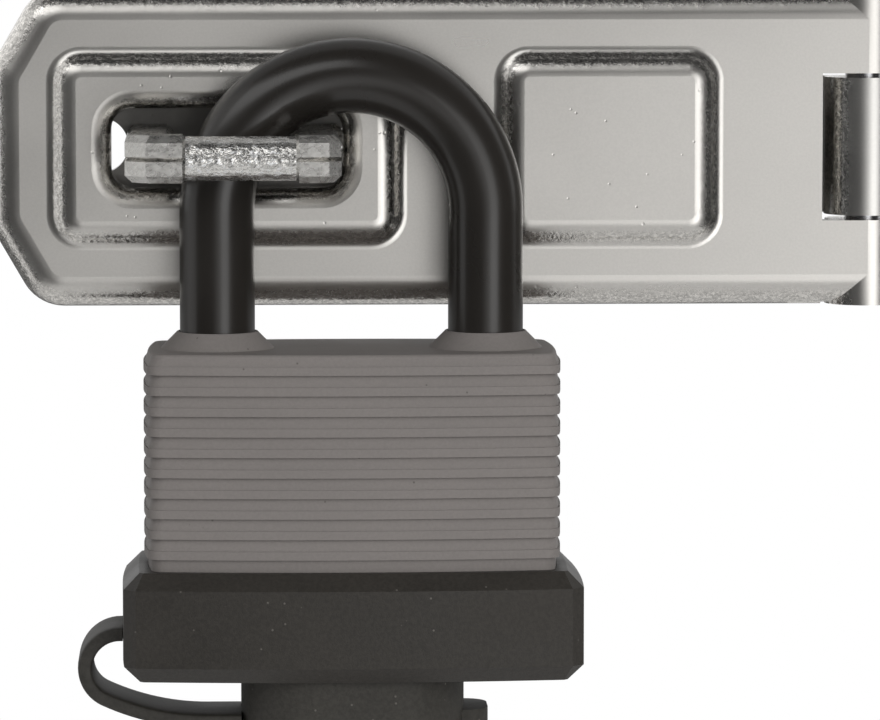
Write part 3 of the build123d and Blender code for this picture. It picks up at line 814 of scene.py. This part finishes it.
@dataclass
class StapleEye:
    """The forged eye: faceted legs with a parting groove and a round hammered rod between them."""

    rod_from: float = -5.0 * MM
    rod_to: float = 6.6 * MM
    rod_half: float = 2.33 * MM
    rod_reach: float = 5.5 * MM
    rod_waver: float = 0.012
    lobes: float = 3.0
    lobe_step: float = 1.9
    waver_step: float = 0.7
    rod_steps: int = 36
    left_bevel: float = 2.23 * MM
    right_bevel: float = 1.3 * MM
    inner_bevel: float = 0.35 * MM
    foot_spread: float = 0.75 * MM
    foot_height: float = 0.8 * MM
    foot_lift: float = 0.1 * MM
    shoulder: float = 0.3 * MM
    tenon_half: float = 1.9 * MM
    root_share: float = 0.97
    root_height: float = 0.06 * MM
    chamfer: float = 0.3
    groove_angle: float = 5.5
    groove_depth: float = 0.15
    last_mark: float = 78.0
    crisp_angle: float = 24.0

    def make(self) -> bpy.types.Object:
        """Builds the eye in the place of its solid.

        Returns:
            the new piece
        """
        low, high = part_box("staple_eye")
        mesh = bmesh.new()
        rings = []
        for index, cut in enumerate(self._cuts(low, high)):
            rings.append([mesh.verts.new(point) for point in self._ring(cut, index)])
        bridge_rings(mesh, rings)
        eye = mesh_object("staple_forging", mesh, self.crisp_angle)
        self._dress(eye, (low.x + high.x) / 2, low.y)
        return eye

    def _cuts(self, low: Vector, high: Vector) -> list[Cut]:
        """Lists the cuts from the left leg's back end round to the right leg's.

        Args:
            low: the solid's lowest corner
            high: its highest corner

        Returns:
            the cuts in order
        """
        half = (high.z - low.z) / 2
        z = (low.z + high.z) / 2
        middle = (low.x + high.x) / 2
        reach = (high.x - low.x) / 2
        front, plate_y = low.y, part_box("staple_plate")[0].y
        chamfered = Section.CHAMFERED

        def cut(
            outer: tuple[float, float], inner: tuple[float, float], up: float, section: Section
        ) -> Cut:
            """One cut from points given as X off the middle and Y."""
            outside = Vector((middle + outer[0], outer[1], z))
            return Cut(outside, Vector((middle + inner[0], inner[1], z)), up, section)

        def leg(side: int, bevel: float) -> list[Cut]:
            """The cuts of one leg from its back end to the corner's front edge."""
            centre = side * (reach - half)
            inner_x = side * (reach - 2 * half)
            inner_y = front + 2 * half
            cuts = []
            for y, size, section in (
                (high.y, self.tenon_half, Section.SQUARE),
                (plate_y, self.tenon_half, Section.SQUARE),
                (plate_y, half * self.root_share, chamfered),
                (plate_y - self.root_height, half, chamfered),
            ):
                outer, inner = (centre + side * size, y), (centre - side * size, y)
                cuts.append(cut(outer, inner, size, section))
            foot = (
                (plate_y - self.foot_lift, self.foot_spread),
                (plate_y - self.foot_height, self.foot_spread),
                (plate_y - self.foot_height - self.foot_spread, 0.0),
            )
            for y, spread in foot if side > 0 else ():
                cuts.append(cut((side * (reach + spread), y), (inner_x, y), half, chamfered))
            corner = (inner_x, inner_y + self.inner_bevel)
            cuts.append(cut((side * reach, front + bevel), corner, half, chamfered))
            corner = (inner_x - side * self.inner_bevel, inner_y)
            cuts.append(cut((side * (reach - bevel), front), corner, half, chamfered))
            return cuts

        def end(x: float) -> Cut:
            """The faceted cut beside one end of the rod."""
            return cut((x, front), (x, front + 2 * half), half, chamfered)

        bar_y = front + half
        rod = []
        for step in range(self.rod_steps + 1):
            x = self.rod_from + (self.rod_to - self.rod_from) * step / self.rod_steps
            outer, inner = (x, bar_y - self.rod_half), (x, bar_y + self.rod_half)
            rod.append(cut(outer, inner, self.rod_half, Section.ROUND))
        bar = [end(self.rod_from - self.shoulder), *rod, end(self.rod_to + self.shoulder)]
        return [*leg(-1, self.left_bevel), *bar, *leg(1, self.right_bevel)[::-1]]

    def _angles(self) -> list[float]:
        """Lists the angles round a section, with one at each facet's edge.

        Returns:
            the angles in degrees from straight out
        """
        edge = math.degrees(math.atan(1 - self.chamfer))
        between = (self.groove_angle + edge) / 2
        quarter = [0.0, self.groove_angle, between, edge, 45.0, 90.0 - edge, self.last_mark]
        marks = {turn + add for turn in range(0, 360, 90) for add in quarter}
        return sorted(marks | {turn - self.groove_angle for turn in (180, 360)})

    def _ring(self, cut: Cut, index: int) -> list[Vector]:
        """Places the points round one cut.

        Args:
            cut: the cut
            index: its number, by which a round section wavers, as hammering leaves it

        Returns:
            the points in order
        """
        middle, reach = (cut.outer + cut.inner) / 2, (cut.outer - cut.inner) / 2
        points = []
        for angle in self._angles():
            turn = math.radians(angle)
            cosine, sine = math.cos(turn), math.sin(turn)
            if cut.section is Section.ROUND:
                lobed = math.sin(index * self.lobe_step + self.lobes * turn)
                waver = lobed * math.cos(index * self.waver_step)
                size = 1.0 + self.rod_waver * waver
            else:
                size = self._facet(angle, cut.section)
            up = Vector((0, 0, cut.half_up * size * sine))
            points.append(middle + reach * (size * cosine) + up)
        return points

    def _facet(self, angle: float, section: Section) -> float:
        """Measures a faceted section in one direction.

        Args:
            angle: degrees from straight out
            section: its shape

        Returns:
            the distance to its edge, as a share of its half size
        """
        turn = math.radians(angle)
        cosine, sine = abs(math.cos(turn)), abs(math.sin(turn))
        chamfer = 0.0 if section is Section.SQUARE else self.chamfer
        size = min(1 / max(cosine, 1e-6), 1 / max(sine, 1e-6), (2 - chamfer) / (cosine + sine))
        in_groove = min(angle, 360 - angle) < self.groove_angle * 0.5
        if section is Section.CHAMFERED and in_groove:
            size *= 1 - self.groove_depth
        return size

    def _dress(self, eye: bpy.types.Object, middle_x: float, front: float) -> None:
        """Gives the rod its hammered skin, the tenons a plain one and the rest the smoother one.

        Args:
            eye: the piece
            middle_x: the middle of its solid
            front: the solid's lowest Y
        """
        finishes = (FORGED_FLAT, FORGED_ROD, RIVET_END)
        for finish in finishes:
            eye.data.materials.append(finish.build())
        plate_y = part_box("staple_plate")[0].y
        for face in eye.data.polygons:
            offset = face.center.x - middle_x
            wanted = RIVET_END if face.center.y > plate_y else FORGED_FLAT
            if self.rod_from < offset < self.rod_to and face.center.y < front + self.rod_reach:
                wanted = FORGED_ROD
            face.material_index = finishes.index(wanted)
        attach(eye, "leaf")
        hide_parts("staple_eye")
        LOG.info("%s: %d faces", eye.name, len(eye.data.polygons))


@dataclass
class CapStrap:
    """The cap's tether: one moulded band from the cover's end round to the cap."""

    stub: float = 0.3 * MM
    top_radius: float = 3.7 * MM
    top_steps: int = 14
    low_radius: float = 3.6 * MM
    low_turn: float = 65.0
    low_steps: int = 12
    sweep_steps: int = 14
    thickness: float = 1.6 * MM
    squareness: float = 7.0
    section_points: int = 40
    crisp_angle: float = 50.0

    def make(self) -> bpy.types.Object:
        """Builds the band inside its solid's box, curved from the cover's end round into the cap.

        Returns:
            the new piece
        """
        low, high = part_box("cap_strap")
        cover_low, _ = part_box("bottom_cover")
        middle_y = (low.y + high.y) / 2
        half_width = (high.y - low.y) / 2
        root = Vector((cover_low.x, middle_y, high.z - self.thickness / 2))
        end = Vector((high.x, middle_y, low.z + self.thickness / 2))
        mesh = bmesh.new()
        rings = []
        for point, heading in self._line(root, end):
            ring = self._ring(point, heading, half_width)
            rings.append([mesh.verts.new(spot) for spot in ring])
        bridge_rings(mesh, rings)
        band = mesh_object("cap_tether", mesh, self.crisp_angle)
        band.data.materials.append(CAP_RUBBER.build())
        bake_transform(band)
        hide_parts("cap_strap")
        LOG.info("%s: %d faces", band.name, len(band.data.polygons))
        return band

    def _ring(self, centre: Vector, heading: Vector, half_width: float) -> list[Vector]:
        """Places the points round one section, a box with soft corners.

        Args:
            centre: the section's middle
            heading: which way the band runs there
            half_width: half the band's width

        Returns:
            the points in order
        """
        across, up = Vector(ALONG_Y), Vector((heading.z, 0, -heading.x))
        power = 2 / self.squareness
        points = []
        for index in range(self.section_points):
            angle = 2 * math.pi * index / self.section_points
            cosine, sine = math.cos(angle), math.sin(angle)
            wide = math.copysign(abs(cosine) ** power, cosine) * half_width
            tall = math.copysign(abs(sine) ** power, sine) * (self.thickness / 2)
            points.append(centre + across * wide + up * tall)
        return points

    def _line(self, root: Vector, end: Vector) -> list[tuple[Vector, Vector]]:
        """Draws the centre line: out, round the top, round the low bend and into the cap.

        Args:
            root: where the band leaves the cover
            end: where it meets the cap

        Returns:
            the points, each with its heading
        """
        turn = math.radians(self.low_turn)
        fall = root.z - end.z
        sweep = (fall - self.top_radius - self.low_radius * math.sin(turn)) / (1 - math.sin(turn))
        outward = Vector((-1, 0, 0))
        spot = root + Vector((-self.stub, 0, 0))
        line = [(root, outward), (spot.copy(), outward)]
        angle = math.pi
        for radius, bend, steps in (
            (self.top_radius, math.pi / 2, self.top_steps),
            (self.low_radius, turn, self.low_steps),
            (sweep, math.pi / 2 - turn, self.sweep_steps),
        ):
            step = bend / steps
            chord = 2 * radius * math.sin(step / 2)
            for _ in range(steps):
                middle = angle + step / 2
                spot = spot + Vector((math.cos(middle), 0, math.sin(middle))) * chord
                angle += step
                line.append((spot.copy(), Vector((math.cos(angle), 0, math.sin(angle)))))
        line.append((end, Vector((1, 0, 0))))
        return line


class Dresser:
    """Gives the carried-over CAD nodes their finishes."""

    FINISHES: dict[str, Finish] = {
        "leaf": LEAF_PLATING,
        "hinge_base": KNUCKLE_PLATING,
        "staple_plate": PLATE_PAINTED_SHADE,
        "shackle": SHACKLE_LACQUER,
        "jacket": JACKET_VINYL,
        "bottom_cover": COVER_PLASTIC,
        "keyway_cap": CAP_RUBBER,
        "lock_block": BODY_BRASS,
        "plug": BODY_BRASS,
        "key_pins": BODY_BRASS,
        "bore_closers": BODY_BRASS,
        "cam": DRAWN_STEEL,
        "hinge_pin": DRAWN_STEEL,
        "toe_bolt": DRAWN_STEEL,
        "heel_bolt": DRAWN_STEEL,
        "driver_pins": DRAWN_STEEL,
        "pin_springs": DRAWN_STEEL,
        "shackle_spring": DRAWN_STEEL,
        "heel_retainer": DRAWN_STEEL,
        "plug_retainer": DRAWN_STEEL,
    }

    def __init__(self) -> None:
        """Starts with no finish built."""
        self.built: dict[str, bpy.types.Material] = {}

    def dress(self, nodes: dict[str, bpy.types.Object]) -> None:
        """Puts each finish in its node's material slots.

        Args:
            nodes: the CAD nodes' objects by name
        """
        for name, finish in self.FINISHES.items():
            if finish.name not in self.built:
                self.built[finish.name] = finish.build()
            for socket in nodes[name].material_slots:
                socket.material = self.built[finish.name]
            LOG.info("%s: %s", name, finish.name)


@dataclass(frozen=True)
class Softbox:
    """A rectangular studio lamp that looks at the padlock and isn't mirrored in the metal.

    Args:
        name: the lamp's name
        place: where it hangs, in metres
        size: its width and height, in metres
        watts: its power
    """

    name: str
    place: Vector
    size: tuple[float, float]
    watts: float

    def hang(self, target: Vector) -> None:
        """Adds the lamp.

        Args:
            target: the point that it looks at
        """
        data = bpy.data.lights.new(self.name, "AREA")
        data.shape = "RECTANGLE"
        data.size, data.size_y = self.size
        data.energy = self.watts
        lamp = bpy.data.objects.new(self.name, data)
        lamp.location = self.place
        lamp.rotation_euler = (target - self.place).to_track_quat("-Z", "Y").to_euler()
        lamp.visible_glossy = False
        bpy.context.scene.collection.objects.link(lamp)


@dataclass(frozen=True)
class LightPanel:
    """A soft panel of the room that the metal mirrors.

    Args:
        turn: from and to, degrees right of straight ahead
        rise: from and to, degrees above level
        level: how much brighter than the room it is
        fade: half width in degrees of its soft edges
    """

    turn: tuple[float, float]
    rise: tuple[float, float]
    level: float
    fade: float = 4.0


@dataclass
class Studio:
    """The camera, one lamp, the white surroundings and a pale floor."""

    camera_place: Vector = Vector((-42.72, -601.51, 33.26)) * MM
    camera_yaw: float = 2.3234
    camera_pitch: float = 5.4119
    camera_near: float = 0.05
    focal_pixels: float = 5511.9
    sensor: float = 36.0
    key: Softbox = Softbox("key_box", Vector((0.5, -0.8, 0.2)), (0.4, 0.5), 3.6)
    key_target: Vector = Vector((-0.02, -0.015, -0.02))
    side_light: float = 0.22
    front_light: float = 0.92
    front_from: float = 0.85
    low_light: float = 0.08
    low_span: tuple[float, float] = (-0.8, 0.1)
    room_level: float = 0.05
    underside_level: float = 0.14
    underside_span: tuple[float, float] = (-0.12, 0.05)
    ceiling_level: float = 0.35
    ceiling_span: tuple[float, float] = (0.35, 0.75)
    behind_span: tuple[float, float] = (-0.12, 0.15)
    panels: tuple[LightPanel, ...] = (
        LightPanel(turn=(12.0, 36.0), rise=(-28.0, 16.0), level=1.25),
        LightPanel(turn=(-70.0, 2.0), rise=(28.0, 50.0), level=1.7),
        LightPanel(turn=(-104.0, -68.0), rise=(-40.0, 50.0), level=0.6),
        LightPanel(turn=(-2.0, 36.0), rise=(-30.0, 0.0), level=1.02, fade=13.0),
    )
    floor_drop: float = 0.05
    floor_radius: float = 0.22
    floor_lift: float = 0.5
    floor_tone: float = 0.9
    floor_roughness: float = 0.9
    floor_fade: tuple[float, float] = (0.45, 0.95)

    def build(self) -> None:
        """Adds everything that isn't the object."""
        bpy.context.scene.view_settings.view_transform = "Standard"
        self._camera()
        self._world()
        self._floor()
        self.key.hang(self.key_target)

    def _camera(self) -> None:
        """Sets the photograph's viewing angle, aimed by turning the camera alone."""
        data = bpy.data.cameras.new("view")
        data.sensor_fit = "HORIZONTAL"
        data.sensor_width = self.sensor
        data.lens = self.focal_pixels / PICTURE_WIDTH * self.sensor
        data.clip_start = self.camera_near
        camera = bpy.data.objects.new("view", data)
        camera.location = self.camera_place
        pitch, yaw = math.radians(90 - self.camera_pitch), math.radians(-self.camera_yaw)
        camera.rotation_euler = (pitch, 0, yaw)
        bpy.context.scene.collection.objects.link(camera)
        bpy.context.scene.camera = camera

    def _world(self) -> None:
        """Makes white for the eye and for clear rays, a soft studio for reflections and shade."""
        world = bpy.data.worlds.new("studio")
        bpy.context.scene.world = world
        world.use_nodes = True
        world.cycles.sampling_method = "NONE"
        world.node_tree.nodes.clear()
        graph = Graph(world.node_tree)
        look = graph.add("ShaderNodeTexCoord").outputs["Generated"]
        parts = graph.add("ShaderNodeSeparateXYZ", {"Vector": look}).outputs
        rays = graph.add("ShaderNodeLightPath").outputs
        facing = graph.math("ABSOLUTE", parts["Y"])
        level = graph.ramp(facing, 0.0, self.front_from, self.side_light, self.front_light)
        dimmed = graph.ramp(parts["Z"], *self.low_span, self.low_light, 1.0)
        lit = graph.add("ShaderNodeMix", data_type="FLOAT")
        graph.feed(lit.inputs[0], rays["Is Glossy Ray"])
        graph.feed(lit.inputs[2], graph.math("MULTIPLY", level, dimmed))
        graph.feed(lit.inputs[3], self._reflected_room(graph, parts))
        seen = graph.math("MAXIMUM", rays["Is Camera Ray"], rays["Is Transmission Ray"])
        strength = graph.math("MAXIMUM", seen, lit.outputs[0])
        inputs = {"Color": (1, 1, 1, 1), "Strength": strength}
        background = graph.add("ShaderNodeBackground", inputs)
        graph.add("ShaderNodeOutputWorld", {"Surface": background.outputs[0]})

    def _reflected_room(
        self, graph: Graph, parts: bpy.types.NodeOutputs
    ) -> bpy.types.NodeSocket:
        """Makes what polished metal sees: a dim room in front with soft panels, white behind.

        Args:
            graph: the world's graph
            parts: the direction's X, Y and Z

        Returns:
            the room's brightness in that direction
        """
        ahead = graph.math("MULTIPLY", parts["Y"], -1.0)
        radians = graph.math("ARCTAN2", parts["X"], ahead)
        turn = graph.math("MULTIPLY", radians, math.degrees(1.0))
        rise = graph.math("MULTIPLY", graph.math("ARCSINE", parts["Z"]), math.degrees(1.0))
        level: Value = self.room_level
        for panel in self.panels:
            across = self._window(graph, turn, panel.turn, panel.fade)
            upright = self._window(graph, rise, panel.rise, panel.fade)
            inside = graph.math("MULTIPLY", across, upright)
            level = graph.math("ADD", level, graph.math("MULTIPLY", inside, panel.level))
        above = graph.ramp(parts["Z"], *self.ceiling_span, 1.0, self.ceiling_level)
        under = graph.ramp(parts["Z"], *self.underside_span, self.underside_level, 1.0)
        height = graph.math("MULTIPLY", under, above)
        behind = graph.math("MULTIPLY", graph.ramp(parts["Y"], *self.behind_span), height)
        return graph.math("MAXIMUM", level, behind)

    @staticmethod
    def _window(
        graph: Graph, angle: Value, span: tuple[float, float], fade: float
    ) -> bpy.types.NodeSocket:
        """Opens one soft-edged range of angles.

        Args:
            graph: the world's graph
            angle: the angle, in degrees
            span: the range's ends
            fade: half width of its soft edges

        Returns:
            1 within the range, falling to 0 outside it
        """
        opened = graph.ramp(angle, span[0] - fade, span[0] + fade)
        closed = graph.ramp(angle, span[1] - fade, span[1] + fade, 1.0, 0.0)
        return graph.math("MULTIPLY", opened, closed)

    def _floor(self) -> None:
        """Lays a pale disc below the object that fades into the white and is clear from below."""
        low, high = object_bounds()
        mesh = bmesh.new()
        bmesh.ops.create_grid(mesh, x_segments=2, y_segments=2, size=self.floor_radius)
        floor = mesh_object("floor", mesh, 30.0)
        height = low[2] - self.floor_drop
        floor.location = ((low[0] + high[0]) / 2, (low[1] + high[1]) / 2, height)
        material = bpy.data.materials.new("pale_floor")
        material.use_nodes = True
        material.node_tree.nodes.clear()
        graph = Graph(material.node_tree)
        shader = graph.add("ShaderNodeBsdfPrincipled")
        shader.inputs["Base Color"].default_value = (*[self.floor_tone] * 3, 1)
        shader.inputs["Roughness"].default_value = self.floor_roughness
        shader.inputs["Emission Strength"].default_value = 1.0
        reach = graph.add("ShaderNodeVectorMath", operation="LENGTH")
        graph.feed(reach.inputs[0], graph.add("ShaderNodeTexCoord").outputs["Object"])
        near, far = (share * self.floor_radius for share in self.floor_fade)
        fade = graph.ramp(reach.outputs["Value"], near, far, 1.0, 0.0)
        below = graph.add("ShaderNodeNewGeometry").outputs["Backfacing"]
        clear = graph.math("SUBTRACT", 1.0, below)
        graph.feed(shader.inputs["Alpha"], graph.math("MULTIPLY", fade, clear))
        seen = graph.add("ShaderNodeLightPath").outputs["Is Camera Ray"]
        lift = graph.math("MULTIPLY", seen, self.floor_lift)
        graph.feed(shader.inputs["Emission Color"], lift)
        graph.add("ShaderNodeOutputMaterial", {"Surface": shader.outputs[0]})
        floor.data.materials.append(material)
        floor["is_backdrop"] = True


def main() -> None:
    """Builds the studio, the finishes and the pieces in order."""
    logging.basicConfig(level=logging.INFO, format="%(message)s")
    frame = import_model()
    Studio().build()
    Dresser().dress(frame["nodes"])
    StapleEye().make()
    CapStrap().make()


if __name__ == "__main__":
    main()
